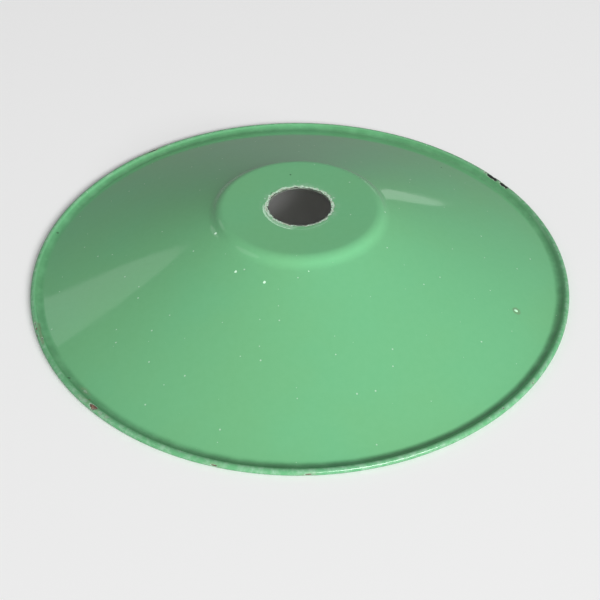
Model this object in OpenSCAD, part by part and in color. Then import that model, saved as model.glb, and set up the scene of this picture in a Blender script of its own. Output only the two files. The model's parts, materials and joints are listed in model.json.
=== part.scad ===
// Enamelled conical lampshade: one spun steel sheet with a rolled rim, and the glass coats fused
// to both of its faces. Millimetres and degrees.
// The axis of the shade is Z, with the collar up. The origin is on that axis, at the level of the
// lowest circle of the rim, so the shade stands on the plane z = 0.
// Every sub-part is turned from one profile. Each layer is the strip between two depths, measured
// square to the finished outside, so neighbouring layers share their whole face.

/* [Overall] */
// Diameter over the rolled rim
rim_d = 356; // [300:1:450]
// Slope of the cone, down from horizontal
cone_slope = 22; // [18:0.5:28]

/* [Collar] */
// Diameter of the hole for the threaded skirt of a lampholder
hole_d = 40; // [28:0.5:44]
// Diameter of the flat on top of the collar
collar_flat_d = 96.6; // [90:0.2:110]
// Outside radius of the shoulder round the flat
shoulder_r = 8.5; // [6:0.5:12]
// Steepest slope of the step between the shoulder and the cone
step_slope = 47; // [38:1:60]
// Outside radius of the hollow where the step meets the cone
foot_r = 12.5; // [8:0.5:20]

/* [Rim] */
// Diameter of the rolled bead, over its coats
bead_d = 4; // [3.6:0.1:5]
// Outside radius of the gutter between the cone and the bead
gutter_r = 5; // [4:0.5:8]
// Height of the gutter's underside above the lowest circle of the bead
gutter_lift = 0.1; // [0.05:0.05:0.4]
// Direction in which the curl ends, seen from the middle of the bead, with 0 outwards
curl_end = -145; // [-150:1:-90]

/* [Sheet and coats] */
// Thickness of the steel sheet
sheet_t = 0.8; // [0.6:0.1:1]
// Thickness of the dark ground coat on each face of the steel
ground_t = 0.1; // [0.1:0.05:0.2]
// Thickness of the white undercoat on the outside
undercoat_t = 0.15; // [0.1:0.05:0.2]
// Thickness of the green top coat
top_coat_t = 0.15; // [0.1:0.05:0.2]
// Thickness of the white coat that lines the inside
lining_t = 0.2; // [0.1:0.05:0.3]
// Width of the ring round the hole where the ground coat has broken away
ground_worn_w = 0.4; // [0.2:0.1:1]
// Width of the ring round the hole where the white coats have broken away
white_worn_w = 0.8; // [0.4:0.1:1.5]
// Width of the ring round the hole where the green coat has worn away
green_worn_w = 1.9; // [0.8:0.1:3]

/* [Hidden] */

// Depths of the layers' faces below the finished outside
undercoat_depth = top_coat_t;
ground_depth = undercoat_depth + undercoat_t;
steel_depth = ground_depth + ground_t;
steel_back = steel_depth + sheet_t;
ground_back = steel_back + ground_t;
wall_t = ground_back + lining_t;

// Where each layer starts, round the hole
hole_r = hole_d / 2;
ground_edge_r = hole_r + ground_worn_w;
white_edge_r = hole_r + white_worn_w;
green_edge_r = hole_r + green_worn_w;

// Bead and gutter: two circles that touch, side by side
bead_r = bead_d / 2;
bead_c = [rim_d / 2 - bead_r, bead_r];
gutter_low_z = gutter_lift + wall_t;
gutter_rise = gutter_low_z + gutter_r - bead_r;
bead_slope = acos(gutter_rise / (gutter_r + bead_r));
gutter_c = [
    bead_c[0] - (gutter_r + bead_r) * sin(bead_slope),
    gutter_low_z + gutter_r
];
cone_foot = gutter_c + gutter_r * dir(270 - cone_slope);

// Collar: the height follows from the length of the cone
collar_flat_r = collar_flat_d / 2;
foot_c_r = collar_flat_r + (shoulder_r + foot_r) * sin(step_slope);
cone_top_r = foot_c_r - foot_r * sin(cone_slope);
cone_top_z = cone_foot[1] + (cone_foot[0] - cone_top_r) * tan(cone_slope);
foot_c = [foot_c_r, cone_top_z + foot_r * cos(cone_slope)];
shoulder_c = foot_c - (shoulder_r + foot_r) * dir(90 - step_slope);
collar_top_z = shoulder_c[1] + shoulder_r;

// The inside coats run up into the mouth of the curl as far as this slope of the gutter
inside_end = 36;

// The profile turns a corner at least this often along an arc, at whole multiples of the angle
arc_step = 5;
// No corner lies closer than this to the end of an arc
arc_end_gap = 1;

// Unit vector at an angle, in the plane of the profile
function dir(a) = [cos(a), sin(a)];

// The angles of an arc's corners, both of its ends included
function arc_angles(from, to) =
    let (
        low = min(from, to),
        high = max(from, to),
        between = [
            for (i = [ceil(low / arc_step) : floor(high / arc_step)])
                let (a = i * arc_step)
                if (a - low > arc_end_gap && high - a > arc_end_gap) a
        ]
    )
    concat([from], from < to ? between : reversed(between), [to]);

// Points along an arc. An arc that carries on from another leaves out its first point.
function arc(centre, radius, from, to, carries_on = false) =
    let (angles = arc_angles(from, to))
    [for (i = [carries_on ? 1 : 0 : len(angles) - 1]) centre + radius * dir(angles[i])];

function reversed(points) = [for (i = [len(points) - 1 : -1 : 0]) points[i]];

// The collar, the step and the cone at one depth, from an edge round the hole outwards
function collar_and_cone(depth, edge_r) = concat(
    [[edge_r, collar_top_z - depth]],
    arc(shoulder_c, shoulder_r - depth, 90, 90 - step_slope),
    arc(foot_c, foot_r + depth, 270 - step_slope, 270 - cone_slope, true)
);

// The gutter at one depth, up to a slope of its far side
function gutter(depth, end_slope) =
    arc(gutter_c, gutter_r + depth, 270 - cone_slope, 270 + end_slope);

// The curl at one depth, from the gutter over the top and round to its end
function curl(depth) = arc(bead_c, bead_r - depth, 90 + bead_slope, curl_end, true);

// A face of the sheet that goes round the curl
function outside_path(depth, edge_r) = concat(
    collar_and_cone(depth, edge_r),
    gutter(depth, bead_slope),
    curl(depth)
);

// A face of the sheet that ends in the mouth of the curl
function inside_path(depth, edge_r) = concat(
    collar_and_cone(depth, edge_r),
    gutter(depth, inside_end)
);

// The strip between two faces, turned about the axis
module turned_strip(upper, lower) {
    rotate_extrude($fn = 180) polygon(concat(upper, reversed(lower)));
}

module steel_shell() {
    color("slategray") turned_strip(
        outside_path(steel_depth, hole_r),
        outside_path(steel_back, hole_r)
    );
}

module ground_coat_outside() {
    color([0.09, 0.1, 0.13]) turned_strip(
        outside_path(ground_depth, ground_edge_r),
        outside_path(steel_depth, ground_edge_r)
    );
}

module ground_coat_inside() {
    color([0.09, 0.1, 0.13]) turned_strip(
        inside_path(steel_back, ground_edge_r),
        inside_path(ground_back, ground_edge_r)
    );
}

module white_undercoat() {
    color([0.86, 0.9, 0.85]) turned_strip(
        outside_path(undercoat_depth, white_edge_r),
        outside_path(ground_depth, white_edge_r)
    );
}

module green_top_coat() {
    color([0.43, 0.7, 0.5]) turned_strip(
        outside_path(0, green_edge_r),
        outside_path(undercoat_depth, green_edge_r)
    );
}

module white_lining() {
    color([0.93, 0.93, 0.9]) turned_strip(
        inside_path(ground_back, white_edge_r),
        inside_path(wall_t, white_edge_r)
    );
}

steel_shell();
ground_coat_outside();
ground_coat_inside();
white_undercoat();
green_top_coat();
white_lining();
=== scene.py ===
"""Looks of the enamelled lampshade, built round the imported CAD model.

Each layer of the real shade is a turned shell of its own: steel, ground coats, white coats and the
green top coat. Chips are cut through the layers one after another, so a shallow chip shows the
white undercoat and a deep one shows dark ground coat and rusty steel.
"""
import json
import math

import bpy
import numpy as np
from mathutils import Matrix, Vector, noise


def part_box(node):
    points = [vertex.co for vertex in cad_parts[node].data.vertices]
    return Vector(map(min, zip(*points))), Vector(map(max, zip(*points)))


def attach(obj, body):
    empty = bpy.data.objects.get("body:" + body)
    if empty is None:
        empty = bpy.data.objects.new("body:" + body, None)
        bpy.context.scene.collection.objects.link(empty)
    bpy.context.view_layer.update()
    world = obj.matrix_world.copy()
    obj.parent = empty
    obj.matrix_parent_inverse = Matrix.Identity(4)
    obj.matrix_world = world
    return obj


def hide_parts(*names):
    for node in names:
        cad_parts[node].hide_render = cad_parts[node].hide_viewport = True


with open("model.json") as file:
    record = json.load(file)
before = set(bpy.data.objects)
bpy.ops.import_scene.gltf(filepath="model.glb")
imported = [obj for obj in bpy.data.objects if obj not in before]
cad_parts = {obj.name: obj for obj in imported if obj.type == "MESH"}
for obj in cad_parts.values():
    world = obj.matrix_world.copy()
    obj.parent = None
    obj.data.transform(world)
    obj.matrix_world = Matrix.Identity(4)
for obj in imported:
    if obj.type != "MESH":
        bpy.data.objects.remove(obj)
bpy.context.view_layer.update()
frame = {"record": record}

MM = 0.001

# ---------------------------------------------------------------------------------------------
# Driving dimensions, in millimetres and degrees. The CAD model gives the outline's size and the
# record the hole's; the rest repeats part.scad, apart from where the columns split and how far the
# wear reaches.
# ---------------------------------------------------------------------------------------------
mounts = {m["name"]: m for m in frame["record"]["mounts"]}
HOLE_R = mounts["holder_hole"]["dims"]["r_mm"]
RIM_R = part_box("green_top_coat")[1].x / MM
TOP_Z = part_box("green_top_coat")[1].z / MM

CONE_SLOPE = 22
COLLAR_FLAT_R = 48.3
SHOULDER_R = 8.5
STEP_SLOPE = 47
FOOT_R = 12.5
BEAD_R = 2.0
GUTTER_R = 5.0
GUTTER_LIFT = 0.1
CURL_END = -145
INSIDE_END = 36

# Depths of the layers' faces below the finished outside, and where the inside coats start
UNDERCOAT_DEPTH = 0.15
GROUND_DEPTH = 0.3
STEEL_DEPTH = 0.4
STEEL_BACK = 1.2
GROUND_BACK = 1.3
WALL = 1.5
GROUND_EDGE_R = HOLE_R + 0.4
WHITE_EDGE_R = HOLE_R + 0.8


def direction(angle):
    """Unit vector at an angle in degrees, in a plane."""
    return np.array([math.cos(math.radians(angle)), math.sin(math.radians(angle))])


BEAD_C = np.array([RIM_R - BEAD_R, BEAD_R])
GUTTER_LOW_Z = GUTTER_LIFT + WALL
BEAD_SLOPE = math.degrees(math.acos((GUTTER_LOW_Z + GUTTER_R - BEAD_R) / (GUTTER_R + BEAD_R)))
GUTTER_C = np.array([
    BEAD_C[0] - (GUTTER_R + BEAD_R) * math.sin(math.radians(BEAD_SLOPE)),
    GUTTER_LOW_Z + GUTTER_R,
])
SHOULDER_C = np.array([COLLAR_FLAT_R, TOP_Z - SHOULDER_R])
FOOT_C = SHOULDER_C + (SHOULDER_R + FOOT_R) * direction(90 - STEP_SLOPE)
CONE_TOP = FOOT_C + FOOT_R * direction(270 - CONE_SLOPE)
CONE_FOOT = GUTTER_C + GUTTER_R * direction(270 - CONE_SLOPE)
DOWN = (0, -1)
UNDER_CONE = -direction(90 - CONE_SLOPE)
SPLIT_R = 130.0        # where the collar's columns give way to the rim's finer ones
WORN_R = HOLE_R + 6.0  # the glaze is worn or cracked up to here


# ---------------------------------------------------------------------------------------------
# Profile: rows of points on the finished outside, each with the direction into the sheet
# ---------------------------------------------------------------------------------------------
# Steps between rows, in millimetres on straight stretches and in degrees on arcs
WORN_STEP = 0.35
HIDDEN_STEP = 3.0      # by the hole, on the inside
FLAT_STEP = 4.0
SHOULDER_STEP = 4.0
CONE_STEP = 6.0
GUTTER_STEP = 5.0
BEAD_STEP = 7.5
CURL_STEP = 12.5
CURL_FROM = -20        # direction from the bead's middle where the rows thin out


def arc_rows(centre, radius, start, end, step, hollow):
    """Rows along an arc. The sheet lies outside the arc where the arc is hollow."""
    count = math.ceil(abs(end - start) / step)
    side = 1 if hollow else -1
    directions = [direction(start + (end - start) * i / count) for i in range(count + 1)]
    return [(centre + radius * d, side * d) for d in directions]


def line_rows(start, end, inward, step):
    """Rows along a straight stretch, without its last point."""
    start, end = np.array(start, float), np.array(end, float)
    count = math.ceil(np.linalg.norm(end - start) / step)
    return [(start + (end - start) * i / count, np.array(inward, float)) for i in range(count)]


def profile(first_r, inside):
    """Rows of one face of the sheet, and the index of the first row with the rim's columns."""
    share = (SPLIT_R - CONE_TOP[0]) / (CONE_FOOT[0] - CONE_TOP[0])
    split = CONE_TOP + (CONE_FOOT - CONE_TOP) * share
    rows = line_rows((first_r, TOP_Z), (WORN_R, TOP_Z), DOWN, HIDDEN_STEP if inside else WORN_STEP)
    rows += line_rows((WORN_R, TOP_Z), (COLLAR_FLAT_R, TOP_Z), DOWN, FLAT_STEP)
    rows += arc_rows(SHOULDER_C, SHOULDER_R, 90, 90 - STEP_SLOPE, SHOULDER_STEP, False)
    foot = arc_rows(FOOT_C, FOOT_R, 270 - STEP_SLOPE, 270 - CONE_SLOPE, SHOULDER_STEP, True)
    rows += foot[1:-1]
    rows += line_rows(CONE_TOP, split, UNDER_CONE, CONE_STEP)
    split_row = len(rows)
    rows += line_rows(split, CONE_FOOT, UNDER_CONE, CONE_STEP)
    gutter_end = 270 + (INSIDE_END if inside else BEAD_SLOPE)
    rows += arc_rows(GUTTER_C, GUTTER_R, 270 - CONE_SLOPE, gutter_end, GUTTER_STEP, True)
    if not inside:
        rows += arc_rows(BEAD_C, BEAD_R, 90 + BEAD_SLOPE, CURL_FROM, BEAD_STEP, False)[1:]
        rows += arc_rows(BEAD_C, BEAD_R, CURL_FROM, CURL_END, CURL_STEP, False)[1:]
    return rows, split_row


# ---------------------------------------------------------------------------------------------
# Damage: how many millimetres of coat are gone at a point of the outside
# ---------------------------------------------------------------------------------------------
# Chips of the bead: azimuth, direction from the bead's middle, half length, half width, depth
BEAD_CHIPS = [
    (35.4, 90, 7.2, 2.3, 0.37),      # two long dark chips, far right
    (31.3, 88, 5.2, 2.1, 0.37),
    (129.5, 78, 6.5, 1.1, 0.37),     # thin dark chip, far left
    (199.6, 60, 1.2, 0.7, 0.28),     # a run of small ones, left
    (201.2, 66, 1.6, 0.5, 0.45),
    (203.0, 30, 1.3, 0.6, 0.45),
    (204.6, 118, 1.0, 0.6, 0.35),
    (227.5, 92, 3.2, 2.0, 0.50),     # rusty chip, near left, and the flaked glaze round it
    (225.2, 80, 1.8, 1.1, 0.08),
    (223.9, 60, 1.2, 0.7, 0.08),
    (229.7, 70, 1.9, 1.2, 0.08),
    (231.4, 84, 1.5, 0.9, 0.08),
    (254.8, 12, 2.2, 0.8, 0.45),     # two at the near edge
    (271.6, -2, 2.6, 0.8, 0.45),
    (312.2, 82, 0.7, 0.6, 0.40),     # two dots, near right
    (321.6, 46, 0.7, 0.6, 0.40),
    (66.0, 10, 3.4, 1.1, 0.45),      # outer edge, behind
    (94.0, -8, 1.8, 0.8, 0.40),
    (113.0, 5, 2.6, 0.9, 0.45),
    (341.0, -12, 2.4, 0.9, 0.45),
    (12.0, -5, 1.4, 0.7, 0.40),
    (176.0, -6, 2.8, 1.0, 0.45),
]
# Chips of the gutter: azimuth, radius, half length, half width, depth
GUTTER_CHIPS = [
    (222.5, 171.2, 1.9, 0.7, 0.06),
]
STAIN_W = 1.6    # a stain reaches this many millimetres past its chip


def fractal(point, wavelength, octaves=3):
    """Fractal noise, about -1 to 1, whose broadest wave is as long as said, in millimetres."""
    total, weight = 0.0, 0.0
    for o in range(octaves):
        share = 0.55 ** o
        shift = Vector((37.1 * o, 5.3, 11.7))
        total += share * noise.noise(Vector(point) * (2 ** o / wavelength) + shift)
        weight += share
    return 1.6 * total / weight


def chip_at(along, across, length, width, depth, seed):
    """Depth and stain of one chip at a place measured from its middle."""
    if abs(along) > 2 * length + STAIN_W:
        return 0.0, 0.0
    ragged = 0.42 * fractal((along, across * 1.3, seed), 1.2 + 0.15 * length)
    outside = (math.hypot(along / length, across / width) - 1 - ragged) * width
    slope = 0.35 * min(width, 1.2)    # width of the fracture round a chip
    return min(depth, max(0.0, -outside / slope * depth)), max(0.0, 1 - max(0.0, outside) / STAIN_W)


def rim_damage(azimuth, base, inward):
    """Depth and stain of the deepest chip at a point of the rim."""
    on_bead = np.linalg.norm(base - BEAD_C) < BEAD_R + 0.01
    outward = math.degrees(math.atan2(-inward[1], -inward[0]))
    depth, stain = 0.0, 0.0
    for centre, place, length, width, deepest in BEAD_CHIPS if on_bead else GUTTER_CHIPS:
        along = math.radians((azimuth - centre + 180) % 360 - 180) * base[0]
        across = math.radians(outward - place) * BEAD_R if on_bead else base[0] - place
        found = chip_at(along, across, length, width, deepest, centre)
        depth, stain = max(depth, found[0]), max(stain, found[1])
    return depth, stain


def hole_damage(azimuth, radius):
    """Depth of coat that the lampholder's ring has broken away round the hole, and the stain."""
    spot = (*(HOLE_R * direction(azimuth)), 0)
    green = HOLE_R + 1.7 + 1.2 * fractal(spot, 4.5) + 0.9 * fractal(spot, 1.6)
    white = HOLE_R + 0.4 + 0.8 * fractal(spot, 3.0) + 0.5 * fractal(spot, 1.1)
    ground = HOLE_R + 0.1 + 0.5 * fractal(spot, 1.8)
    green = min(max(green, HOLE_R + 0.4), HOLE_R + 3.4)
    white = min(white, green - 0.3)
    ground = max(HOLE_R - 0.5, min(ground, white - 0.2))
    radii = [ground, white, white + 0.2, green, green + 0.3]
    depths = [STEEL_DEPTH, GROUND_DEPTH, UNDERCOAT_DEPTH + 0.02, UNDERCOAT_DEPTH, 0]
    return float(np.interp(radius, radii, depths)), max(0.0, 1 - max(0.0, radius - green) / STAIN_W)


def damage(azimuth, base, inward):
    if base[0] < WORN_R:
        return hole_damage(azimuth, base[0])
    if base[0] > CONE_FOOT[0] - 1:
        return rim_damage(azimuth, base, inward)
    return 0.0, 0.0


# ---------------------------------------------------------------------------------------------
# Warp: a fired sheet is never quite round or flat. It only pulls in, so the rim keeps its size.
# ---------------------------------------------------------------------------------------------
LOBES = 3
LOBE_AT = 13           # azimuth of the widest place
PULLED_IN = 1.0        # how much narrower the rim is between the lobes
WAVES = 0.12           # height of the cone's gentle waves
WAVE_LENGTH = 75.0
WAVES_FROM = 56        # radius from which the waves fade in
WAVES_TO = 172         # radius by which they have faded out again
WAVES_FADE = 20


def warped(azimuth, radius, height):
    """A point of the turned shape, moved as the spinning and firing moved it, in metres."""
    x, y = direction(azimuth)
    share = (radius / RIM_R) ** 2
    between = (1 - math.cos(math.radians(LOBES * (azimuth - LOBE_AT)))) / 2
    fade_in = min(1.0, max(0.0, (radius - WAVES_FROM) / WAVES_FADE))
    fade_out = min(1.0, max(0.0, (WAVES_TO - radius) / WAVES_FADE))
    wave = fractal((radius * x, radius * y, 3.0), WAVE_LENGTH, 2)
    radius -= PULLED_IN * between * share
    height += WAVES * (fade_in * fade_out) * wave
    return (radius * x * MM, radius * y * MM, height * MM)


# ---------------------------------------------------------------------------------------------
# Mesh building
# ---------------------------------------------------------------------------------------------
FINE_STEP = 0.2


def columns(count, zones=()):
    """Azimuths in degrees: an even set, and finer ones in each (azimuth, half width) zone."""
    step = 360 / count
    even = [round(i * step, 4) for i in range(count)]
    fine = set()
    for centre, half in zones:
        first, last = round((centre - half) / FINE_STEP), round((centre + half) / FINE_STEP)
        fine |= {round(i * FINE_STEP % 360, 4) for i in range(first, last + 1)}
    apart = [a for a in fine if abs((a + step / 2) % step - step / 2) > FINE_STEP / 2]
    return sorted(even + apart)


COLLAR_COLUMNS = columns(180)
RIM_COLUMNS = columns(360, [
    (azimuth, math.degrees((length * 1.25 + 0.5) / RIM_R))
    for azimuth, _, length, _, _ in BEAD_CHIPS + GUTTER_CHIPS
])


class Surface:
    """Vertices with their place on the turned shape, and the polygons between them."""

    def __init__(self):
        self.places = []      # azimuth, base, inward, damage, stain
        self.polygons = []

    def copy(self):
        twin = Surface()
        twin.places, twin.polygons = list(self.places), list(self.polygons)
        return twin

    def add(self, *place):
        self.places.append(place)
        return len(self.places) - 1

    def between(self, a, b, share):
        """A new vertex on the edge from a to b."""
        first, second = self.places[a], self.places[b]
        turn = (second[0] - first[0] + 180) % 360 - 180
        rest = [p + (q - p) * share for p, q in zip(first[1:], second[1:])]
        return self.add(first[0] + turn * share, *rest)


def turned_surface(first_r, inside):
    """One whole face of the sheet, outwards from a radius."""
    rows, split_row = profile(first_r, inside)
    surface = Surface()
    rings = []
    for k, (base, inward) in enumerate(rows):
        at = COLLAR_COLUMNS if k < split_row else RIM_COLUMNS
        marks = [(0.0, 0.0) if inside else damage(a, base, inward) for a in at]
        rings.append((at, [surface.add(a, base, inward, *m) for a, m in zip(at, marks)]))
    for (at, near), (next_at, far) in zip(rings, rings[1:]):
        number = {a: i for i, a in enumerate(next_at)}
        for i, a in enumerate(at):
            j = (i + 1) % len(at)
            last = number[at[j]] or len(next_at)
            outer = [far[k % len(far)] for k in range(number[a], last + 1)]
            surface.polygons.append([near[j], near[i]] + outer)
    return surface


def cut(surface, depth):
    """Takes away what the damage has broken off down to a depth, along a clean ragged line."""
    gone = [place[3] for place in surface.places]
    crossings, kept = {}, []
    for polygon in surface.polygons:
        broken = [gone[v] >= depth for v in polygon]
        if not any(broken):
            kept.append(polygon)
        if all(broken) or not any(broken):
            continue
        shape = []
        for i, a in enumerate(polygon):
            k = (i + 1) % len(polygon)
            if not broken[i]:
                shape.append(a)
            if broken[i] != broken[k]:
                low, high = sorted((a, polygon[k]))
                if (low, high) not in crossings:
                    share = (depth - gone[low]) / (gone[high] - gone[low])
                    share = min(0.98, max(0.02, share))
                    crossings[(low, high)] = surface.between(low, high, share)
                shape.append(crossings[(low, high)])
        kept.append(shape)
    surface.polygons = kept


def closed_shell(name, surface, outer, inner):
    """A shell between two depths of a surface. Its outer face is worn down by the damage."""
    used = sorted({v for p in surface.polygons for v in p})
    number = {v: i for i, v in enumerate(used)}
    count = len(used)
    front, back = [], []
    for v in used:
        azimuth, base, inward, gone, _ = surface.places[v]
        front.append(warped(azimuth, *(base + inward * min(max(outer, gone), inner))))
        back.append(warped(azimuth, *(base + inward * inner)))
    faces = [[number[v] for v in p] for p in surface.polygons]
    edges = {(a, b) for p in faces for a, b in zip(p, p[1:] + p[:1])}
    under = [[v + count for v in reversed(p)] for p in faces]
    sides = [[b, a, a + count, b + count] for a, b in sorted(edges) if (b, a) not in edges]
    mesh = bpy.data.meshes.new(name)
    mesh.from_pydata(front + back, [], faces + under + sides)
    for column, label in ((3, "damage"), (4, "stain")):
        values = np.array([surface.places[v][column] for v in used] * 2, np.float32)
        mesh.attributes.new(label, "FLOAT", "POINT").data.foreach_set("value", values)
    mesh.shade_smooth()
    mesh.set_sharp_from_angle(angle=math.radians(35))
    return mesh


def add_object(name, mesh, material, slot=None, node=None):
    """Links an object, hides the CAD part it stands in for, and hangs it under the root body, where
    asked.
    """
    mesh.materials.append(material)
    obj = bpy.data.objects.new(name, mesh)
    bpy.context.scene.collection.objects.link(obj)
    if node:
        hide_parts(node)
    if slot:
        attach(obj, "root")
    return obj


# ---------------------------------------------------------------------------------------------
# Shader graphs
# ---------------------------------------------------------------------------------------------
class Graph:
    """Short ways to add nodes. An input is a socket, a number or a tuple."""

    def __init__(self, tree):
        self.tree = tree

    def node(self, kind, **settings):
        node = self.tree.nodes.new(kind)
        for key, value in settings.items():
            setattr(node, key, value)
        return node

    def feed(self, socket, value):
        if isinstance(value, bpy.types.NodeSocket):
            self.tree.links.new(value, socket)
        else:
            socket.default_value = value

    def math(self, operation, a, b=None, c=None):
        node = self.node("ShaderNodeMath", operation=operation)
        for socket, value in zip(node.inputs, (a, b, c)):
            if value is not None:
                self.feed(socket, value)
        return node.outputs[0]

    def vector(self, operation, a, b=None):
        node = self.node("ShaderNodeVectorMath", operation=operation)
        self.feed(node.inputs[0], a)
        if b is not None:
            self.feed(node.inputs[1], b)
        is_number = operation in ("DOT_PRODUCT", "LENGTH", "DISTANCE")
        return node.outputs["Value" if is_number else "Vector"]

    def smooth(self, value, start, end, low=0.0, high=1.0):
        """Goes smoothly from low at start to high at end."""
        node = self.node("ShaderNodeMapRange", interpolation_type="SMOOTHSTEP")
        for socket, number in zip(node.inputs[:5], (value, start, end, low, high)):
            self.feed(socket, number)
        return node.outputs[0]

    def mix(self, share, a, b):
        """Colour mix."""
        node = self.node("ShaderNodeMix", data_type="RGBA")
        self.feed(node.inputs[0], share)
        for socket, value in zip(node.inputs[6:8], (a, b)):
            self.feed(socket, (*value, 1) if isinstance(value, tuple) else value)
        return node.outputs[2]

    def noise(self, place, wavelength, detail=2.0, roughness=0.5):
        """Noise about 0 to 1 with waves this many metres long."""
        node = self.node("ShaderNodeTexNoise")
        self.feed(node.inputs["Vector"], place)
        node.inputs["Scale"].default_value = 1 / wavelength
        node.inputs["Detail"].default_value = detail
        node.inputs["Roughness"].default_value = roughness
        return node.outputs[0]

    def place(self):
        return self.node("ShaderNodeTexCoord").outputs["Object"]

    def attribute(self, name):
        return self.node("ShaderNodeAttribute", attribute_name=name).outputs["Fac"]

    def bump(self, height, distance, normal=None):
        node = self.node("ShaderNodeBump")
        node.inputs["Distance"].default_value = distance
        self.feed(node.inputs["Height"], height)
        if normal is not None:
            self.feed(node.inputs["Normal"], normal)
        return node.outputs[0]


def new_material(name, roughness):
    """A material, its graph and its shader."""
    material = bpy.data.materials.new(name)
    material.use_nodes = True
    shader = material.node_tree.nodes["Principled BSDF"]
    shader.inputs["Roughness"].default_value = roughness
    shader.inputs["IOR"].default_value = 1.5
    return material, Graph(material.node_tree), shader


# Marks in the glaze: azimuth, radius, radius of the mark, strength, colour
WHITE_MARK = (0.66, 0.95, 0.72)
PALE_MARK = (0.44, 0.72, 0.50)
DARK_MARK = (0.03, 0.08, 0.04)
BROWN_MARK = (0.16, 0.17, 0.10)
MARKS = [
    (203.5, 57.2, 0.95, 1.0, WHITE_MARK),    # flecks round the collar
    (235.0, 67.0, 0.9, 1.0, WHITE_MARK),
    (252.0, 67.9, 1.0, 1.0, WHITE_MARK),
    (275.4, 58.7, 0.45, 1.0, WHITE_MARK),
    (100.0, 35.0, 0.8, 1.0, DARK_MARK),
    (45.0, 148.0, 0.8, 0.8, DARK_MARK),
    (168.0, 172.0, 1.0, 0.7, DARK_MARK),
    (217.5, 172.6, 1.1, 0.7, DARK_MARK),
    (225.2, 173.2, 0.9, 0.8, BROWN_MARK),
    (338.2, 146.4, 3.3, 0.42, BROWN_MARK),   # round the pimple
    (151.0, 22.0, 1.1, 0.9, WHITE_MARK),     # by the hole
    (143.0, 22.6, 0.8, 0.8, DARK_MARK),
]
# Scratches and cracks that run round the axis: azimuth, half span, radius, its change over the
# half span, half width, strength, colour
ARCS = [
    (203.0, 3.8, 174.4, 0.9, 1.3, 0.5, BROWN_MARK),      # brown band across the rim, left
    (226.0, 44.0, 23.0, 0.6, 1.3, 0.4, PALE_MARK),       # worn glaze and cracks round the hole
    (222.0, 44.0, 24.2, 0.9, 0.35, 0.9, WHITE_MARK),
    (200.0, 26.0, 23.1, 0.3, 0.3, 0.7, WHITE_MARK),
    (205.0, 22.0, 22.6, 0.4, 0.2, 0.45, DARK_MARK),
    (292.0, 30.0, 24.4, -0.7, 0.3, 0.35, PALE_MARK),
    (96.0, 22.0, 22.6, 0.2, 0.25, 0.5, PALE_MARK),
    (60.0, 16.0, 22.7, 0.3, 0.25, 0.4, PALE_MARK),
    (118.0, 18.0, 23.0, 0.3, 0.2, 0.35, DARK_MARK),
]


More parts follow.
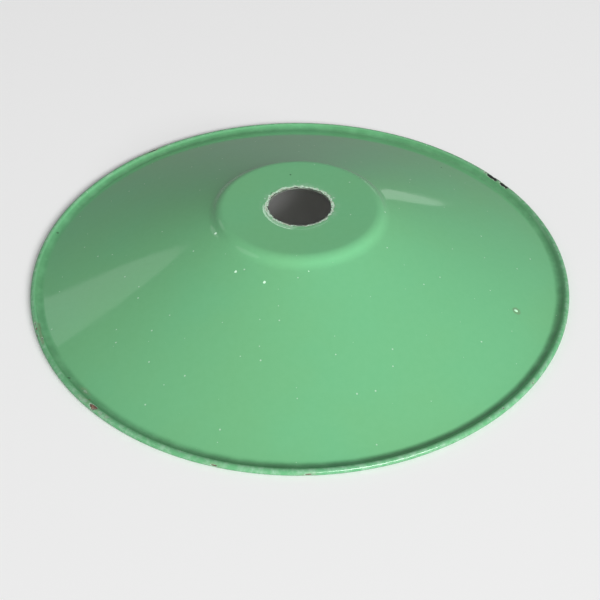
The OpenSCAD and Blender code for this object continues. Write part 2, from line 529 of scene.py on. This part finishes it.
def green_glaze():
    material, g, shader = new_material("green_enamel", 0.08)
    place = g.place()
    flat = g.vector("MULTIPLY", place, (1, 1, 0))
    radius = g.vector("LENGTH", flat)
    cloud = g.smooth(g.noise(place, 0.09, 3.0, 0.55), 0.3, 0.7)
    colour = g.mix(cloud, (0.150, 0.432, 0.198), (0.143, 0.442, 0.212))
    grain = g.smooth(g.noise(place, 0.004, 3.0, 0.6), 0.25, 0.75)
    colour = g.mix(g.math("MULTIPLY", grain, 0.10), colour, (0.20, 0.52, 0.27))

    # Painted shade: the gutter darker in patches and the bead darker all round. Rubbed glaze on the
    # bead and round the hole
    inner_side = g.smooth(radius, (RIM_R - 10.5) * MM, (RIM_R - 7.5) * MM)
    outer_side = g.smooth(radius, (RIM_R - 3.5) * MM, (RIM_R - 4.8) * MM)
    # Deep green darkening in patches along the gutter: painted shade
    gutter_shade = g.smooth(g.noise(place, 0.012, 4.0, 0.6), 0.2, 0.7, 0.15, 0.5)
    gutter_shade = g.math("MULTIPLY", gutter_shade, g.math("MULTIPLY", inner_side, outer_side))
    colour = g.mix(gutter_shade, colour, (0.035, 0.17, 0.06))
    rub = g.smooth(g.noise(place, 0.0045, 5.0, 0.65), 0.40, 0.68)
    on_bead = g.smooth(radius, (RIM_R - 4.2) * MM, (RIM_R - 2.8) * MM)
    # The bead darker all round: painted shade
    colour = g.mix(g.math("MULTIPLY", on_bead, 0.45), colour, (0.085, 0.30, 0.135))
    by_hole = g.smooth(radius, (HOLE_R + 7.5) * MM, (HOLE_R + 2.5) * MM)
    rubbed = g.math("MAXIMUM", g.math("MULTIPLY", on_bead, 0.62), g.math("MULTIPLY", by_hole, 0.5))
    rubbed = g.math("MULTIPLY", rubbed, rub)
    colour = g.mix(rubbed, colour, (0.29, 0.50, 0.34))

    # Tiny pale pinholes, here and there
    cells = g.node("ShaderNodeTexVoronoi", voronoi_dimensions="2D")
    g.feed(cells.inputs["Vector"], flat)
    cells.inputs["Scale"].default_value = 1 / 0.011
    chance = g.node("ShaderNodeSeparateColor")
    g.feed(chance.inputs[0], cells.outputs["Color"])
    size = g.smooth(chance.outputs[0], 0.72, 1.0, 0.0, 0.052)
    pinhole = g.smooth(g.math("SUBTRACT", cells.outputs["Distance"], size), 0.0, -0.012)
    colour = g.mix(g.math("MULTIPLY", pinhole, 0.5), colour, (0.62, 0.80, 0.66))

    # Marks in known places
    wobble = g.math("MULTIPLY", g.math("SUBTRACT", g.noise(place, 0.0015, 2.0), 0.5), 0.0012)
    for azimuth, mark_r, size, strength, tint in MARKS:
        x, y = mark_r * direction(azimuth) * MM
        away = g.math("ADD", g.vector("DISTANCE", flat, (x, y, 0)), wobble)
        mask = g.smooth(away, size * MM, size * MM * 0.6, 0.0, strength)
        colour = g.mix(mask, colour, tint)
    for azimuth, half_span, arc_r, change, half_w, strength, tint in ARCS:
        x, y = direction(azimuth)
        along = g.vector("DOT_PRODUCT", flat, (-y / arc_r / MM, x / arc_r / MM, 0))
        share = g.math("DIVIDE", along, math.sin(math.radians(half_span)))
        middle = g.math("MULTIPLY_ADD", share, change * MM, arc_r * MM)
        away = g.math("ABSOLUTE", g.math("ADD", g.math("SUBTRACT", radius, middle), wobble))
        mask = g.smooth(away, half_w * MM, half_w * MM * 0.3, 0.0, strength)
        mask = g.math("MULTIPLY", mask, g.smooth(g.math("ABSOLUTE", share), 1.0, 0.8))
        front = g.math("GREATER_THAN", g.vector("DOT_PRODUCT", flat, (x, y, 0)), 0.0)
        colour = g.mix(g.math("MULTIPLY", mask, front), colour, tint)

    # Pale fracture at the edge of a chip, and a stain round it
    damaged = g.attribute("damage")
    stain = g.attribute("stain")
    blotch = g.smooth(g.noise(place, 0.0025, 3.0, 0.6), 0.35, 0.65)
    stained = g.math("MULTIPLY", g.math("MULTIPLY", stain, blotch), 0.45)
    colour = g.mix(stained, colour, (0.24, 0.30, 0.17))
    fracture = g.smooth(damaged, 0.0, 0.05)
    flaked = g.mix(by_hole, (0.25, 0.40, 0.28), (0.40, 0.64, 0.46))
    colour = g.mix(g.math("MULTIPLY", fracture, 0.7), colour, flaked)
    g.feed(shader.inputs["Base Color"], colour)

    rough = g.smooth(g.noise(place, 0.03, 4.0, 0.6), 0.3, 0.8, 0.05, 0.10)
    rough = g.math("ADD", rough, g.math("MULTIPLY", fracture, 0.3))
    rough = g.math("ADD", rough, g.math("MULTIPLY", rubbed, 0.35))
    g.feed(shader.inputs["Roughness"], rough)
    peel = g.bump(g.noise(place, 0.009, 2.0, 0.45), 0.00002)
    peel = g.bump(g.noise(place, 0.0018, 2.0, 0.5), 0.000005, peel)
    g.feed(shader.inputs["Normal"], g.bump(pinhole, -0.00005, peel))
    return material


def white_glaze():
    material, g, shader = new_material("white_enamel", 0.15)
    place = g.place()
    cloud = g.smooth(g.noise(place, 0.05, 3.0, 0.55), 0.3, 0.7)
    colour = g.mix(cloud, (0.74, 0.76, 0.70), (0.79, 0.79, 0.75))
    blotch = g.smooth(g.noise(place, 0.003, 3.0, 0.6), 0.5, 0.7)
    damaged = g.attribute("damage")
    broken = g.smooth(damaged, 0.13, 0.16)
    radius = g.vector("LENGTH", g.vector("MULTIPLY", place, (1, 1, 0)))
    by_hole = g.smooth(radius, (HOLE_R + 10) * MM, (HOLE_R + 4) * MM)
    chipped = g.mix(by_hole, (0.25, 0.41, 0.28), (0.56, 0.82, 0.63))
    colour = g.mix(broken, colour, chipped)
    streak = g.smooth(g.noise(place, 0.0014, 3.0, 0.65), 0.46, 0.6)
    colour = g.mix(g.math("MULTIPLY", streak, broken), colour, (0.30, 0.36, 0.26))
    colour = g.mix(g.math("MULTIPLY", blotch, broken), colour, (0.40, 0.38, 0.29))
    g.feed(shader.inputs["Base Color"], colour)
    g.feed(shader.inputs["Roughness"], g.smooth(broken, 0.0, 1.0, 0.15, 0.45))
    peel = g.bump(g.noise(place, 0.008, 2.0, 0.45), 0.00006)
    g.feed(shader.inputs["Normal"], peel)
    return material


def ground_glaze():
    material, g, shader = new_material("ground_enamel", 0.35)
    place = g.place()
    rust = g.smooth(g.noise(place, 0.002, 4.0, 0.65), 0.56, 0.70)
    colour = g.mix(rust, (0.014, 0.020, 0.018), (0.10, 0.055, 0.035))
    g.feed(shader.inputs["Base Color"], colour)
    g.feed(shader.inputs["Roughness"], g.smooth(rust, 0.0, 1.0, 0.3, 0.75))
    g.feed(shader.inputs["Normal"], g.bump(g.noise(place, 0.0008, 3.0, 0.6), 0.00005))
    return material


def rusty_steel():
    material, g, shader = new_material("bare_steel", 0.6)
    place = g.place()
    patchy = g.smooth(g.noise(place, 0.0015, 5.0, 0.7), 0.42, 0.60)
    colour = g.mix(patchy, (0.33, 0.18, 0.12), (0.12, 0.06, 0.045))
    bare = g.smooth(g.noise(place, 0.0022, 3.0, 0.6), 0.52, 0.62)
    colour = g.mix(bare, colour, (0.42, 0.38, 0.31))

    # Thin glaze has run over the cut edge round the hole
    radius = g.vector("LENGTH", g.vector("MULTIPLY", place, (1, 1, 0)))
    run = g.smooth(radius, (HOLE_R + 4) * MM, (HOLE_R + 1.5) * MM)
    smear = g.smooth(g.noise(place, 0.004, 4.0, 0.6), 0.35, 0.65)
    colour = g.mix(run, colour, g.mix(smear, (0.10, 0.13, 0.10), (0.27, 0.33, 0.26)))
    g.feed(shader.inputs["Base Color"], colour)
    g.feed(shader.inputs["Metallic"], g.math("MULTIPLY", bare, 0.8))
    g.feed(shader.inputs["Roughness"], g.smooth(patchy, 0.0, 1.0, 0.5, 0.8))
    g.feed(shader.inputs["Normal"], g.bump(g.noise(place, 0.001, 4.0, 0.65), 0.0001))
    return material


# ---------------------------------------------------------------------------------------------
# The shade
# ---------------------------------------------------------------------------------------------
green = green_glaze()
white = white_glaze()
ground = ground_glaze()
steel = rusty_steel()

outside = turned_surface(HOLE_R, False)
CUT_SHARE = 0.8    # a coat is gone where this share of its thickness is
for name, node, slot, material, outer, inner in (
    ("green_top_coat_glaze", "green_top_coat", "green_enamel", green, 0.0, UNDERCOAT_DEPTH),
    ("white_undercoat_glaze", "white_undercoat", "white_enamel", white,
     UNDERCOAT_DEPTH, GROUND_DEPTH),
    ("ground_coat_outside_glaze", "ground_coat_outside", "ground_enamel", ground,
     GROUND_DEPTH, STEEL_DEPTH),
):
    layer = outside.copy()
    cut(layer, outer + (inner - outer) * CUT_SHARE)
    add_object(name, closed_shell(name, layer, outer, inner), material, slot, node)
add_object("steel_sheet", closed_shell("steel_sheet", outside, STEEL_DEPTH, STEEL_BACK),
           steel, "bare_steel", "steel_shell")
for name, node, slot, material, outer, inner, first_r in (
    ("ground_coat_inside_glaze", "ground_coat_inside", "ground_enamel", ground,
     STEEL_BACK, GROUND_BACK, GROUND_EDGE_R),
    ("white_lining_glaze", "white_lining", "white_enamel", white, GROUND_BACK, WALL, WHITE_EDGE_R),
):
    layer = turned_surface(first_r, True)
    add_object(name, closed_shell(name, layer, outer, inner), material, slot, node)


PIMPLE_AT = (338.2, 146.4)    # azimuth and radius
PIMPLE_HALF_L = 1.375         # down the cone
PIMPLE_HALF_W = 0.88
PIMPLE_H = 0.7
PIMPLE_SUNK = 0.05            # how far its foot reaches into the glaze


def pimple_glaze():
    """Thin pale glass over a blister in the undercoat."""
    material, g, shader = new_material("pimple_enamel", 0.06)
    tip = g.smooth(g.noise(g.place(), 0.0012, 2.0), 0.3, 0.7)
    g.feed(shader.inputs["Base Color"], g.mix(tip, (0.42, 0.78, 0.50), (0.62, 0.92, 0.68)))
    return material


def pimple_mesh():
    """A steep little dome that stands on the cone and reaches a little way into the glaze."""
    azimuth, radius = PIMPLE_AT
    share = (radius - CONE_TOP[0]) / (CONE_FOOT[0] - CONE_TOP[0])
    foot = CONE_TOP + (CONE_FOOT - CONE_TOP) * share
    middle = Vector(warped(azimuth, *foot))
    x, y = direction(azimuth)
    slope = math.radians(CONE_SLOPE)
    up = Vector((x * math.sin(slope), y * math.sin(slope), math.cos(slope)))
    outwards = Vector((x * math.cos(slope), y * math.cos(slope), -math.sin(slope)))
    sideways = up.cross(outwards)
    around, levels = 24, 7
    points = []
    for k in range(levels):
        spread, lift = direction(90 - 90 * k / (levels - 1) if k else 89.9)
        sunk = PIMPLE_SUNK if k == levels - 1 else 0
        for i in range(around):
            c, s = direction(360 * i / around)
            offset = (
                outwards * (PIMPLE_HALF_L * c * spread)
                + sideways * (PIMPLE_HALF_W * s * spread)
                + up * (lift * PIMPLE_H - sunk)
            )
            points.append(middle + offset * MM)
    faces = [[k * around + i, (k + 1) * around + i,
              (k + 1) * around + (i + 1) % around, k * around + (i + 1) % around]
             for k in range(levels - 1) for i in range(around)]
    faces.append(list(range(around)))
    faces.append(list(reversed(range((levels - 1) * around, levels * around))))
    mesh = bpy.data.meshes.new("pimple")
    mesh.from_pydata(points, [], faces)
    mesh.shade_smooth()
    mesh.set_sharp_from_angle(angle=math.radians(60))
    return mesh


add_object("glaze_pimple", pimple_mesh(), pimple_glaze(), "green_enamel")


# ---------------------------------------------------------------------------------------------
# Floor, backdrop, light and camera
# ---------------------------------------------------------------------------------------------
STAGE_R = 6.0        # metres, of the floor and the backdrop
BACKDROP_TOP = 80    # elevation where the backdrop's side gives way to its lid
BACKDROP_BANDS = 8


def plain_material(name, colour, glow=0.0):
    """A matt colour without gloss, which may give light of its own."""
    material, _, shader = new_material(name, 1.0)
    shader.inputs["Base Color"].default_value = (*colour, 1)
    shader.inputs["Specular IOR Level"].default_value = 0
    shader.inputs["Emission Color"].default_value = (1, 1, 1, 1)
    shader.inputs["Emission Strength"].default_value = glow
    return material


def stage_object(name, rings, count, material):
    """Bands between rings of radius and height, in metres, and a lid on the last ring.

    The glaze doesn't mirror it.
    """
    points = [(r * x, r * y, z) for r, z in rings for x, y in
              (direction(360 * i / count) for i in range(count))]
    faces = [[k * count + i, k * count + (i + 1) % count,
              (k + 1) * count + (i + 1) % count, (k + 1) * count + i]
             for k in range(len(rings) - 1) for i in range(count)]
    faces.append([(len(rings) - 1) * count + i for i in range(count)])
    mesh = bpy.data.meshes.new(name)
    mesh.from_pydata(points, [], faces)
    obj = add_object(name, mesh, material)
    obj.visible_glossy = False
    return obj


def add_stage():
    """A plain pale floor, and a pale backdrop that only the camera sees."""
    stage_object("floor", [(STAGE_R, 0)], 96, plain_material("pale_floor", (0.92, 0.92, 0.92)))
    rings = [tuple(STAGE_R * direction(BACKDROP_TOP * i / BACKDROP_BANDS))
             for i in range(BACKDROP_BANDS + 1)]
    backdrop = stage_object("backdrop", rings, 48, plain_material("pale_backdrop", (0, 0, 0), 1.0))
    backdrop.visible_diffuse = False
    backdrop.visible_shadow = False


def spherical(azimuth, elevation):
    """Unit vector towards an azimuth and elevation."""
    x, y = direction(azimuth) * math.cos(math.radians(elevation))
    return Vector((x, y, math.sin(math.radians(elevation))))


def add_world():
    """The same soft light from everywhere."""
    world = bpy.data.worlds.new("studio")
    world.use_nodes = True
    bpy.context.scene.world = world
    background = world.node_tree.nodes["Background"]
    background.inputs["Color"].default_value = (1, 1, 1, 1)
    background.inputs["Strength"].default_value = 0.3


LIGHT_DISTANCE = 10


def add_softbox(name, azimuth, elevation, size, radiance):
    """An oval white softbox that faces the shade. Its size is its width and height in metres."""
    light = bpy.data.lights.new(name, "AREA")
    light.shape = "ELLIPSE"
    light.size, light.size_y = size
    light.energy = radiance * math.pi * (math.pi / 4 * size[0] * size[1])
    obj = bpy.data.objects.new(name, light)
    obj.location = spherical(azimuth, elevation) * LIGHT_DISTANCE
    obj.rotation_euler = obj.location.to_track_quat("Z", "Y").to_euler()
    obj.visible_camera = False
    bpy.context.scene.collection.objects.link(obj)


CAMERA_DISTANCE = 0.704    # metres, from the middle of the rim
CAMERA_ELEVATION = 39.63
CAMERA_PITCH = 41.48       # down from level, a little below the middle of the rim
CAMERA_YAW = -0.05
CAMERA_ROLL = 0.15
CAMERA_LENS = 63.0
SENSOR_WIDTH = 36


def add_camera():
    data = bpy.data.cameras.new("camera")
    data.lens = CAMERA_LENS
    data.sensor_width = SENSOR_WIDTH
    obj = bpy.data.objects.new("camera", data)
    place = spherical(270, CAMERA_ELEVATION) * CAMERA_DISTANCE + Vector((0, 0, BEAD_R * MM))
    obj.matrix_world = (
        Matrix.Translation(place)
        @ Matrix.Rotation(math.radians(CAMERA_YAW), 4, "Z")
        @ Matrix.Rotation(math.radians(90 - CAMERA_PITCH), 4, "X")
        @ Matrix.Rotation(math.radians(CAMERA_ROLL), 4, "Z")
    )
    bpy.context.scene.collection.objects.link(obj)
    bpy.context.scene.camera = obj


add_stage()
add_world()
add_softbox("key", 300, 26, (8.0, 3.4), 20)
add_softbox("fill", 200, 30, (6.0, 6.0), 0.8)
add_softbox("back_left", 140, 30, (2.5, 2.5), 0.7)
add_softbox("back_right", 70, 10, (2.0, 1.2), 0.8)
add_camera()
bpy.context.scene.view_settings.view_transform = "Standard"
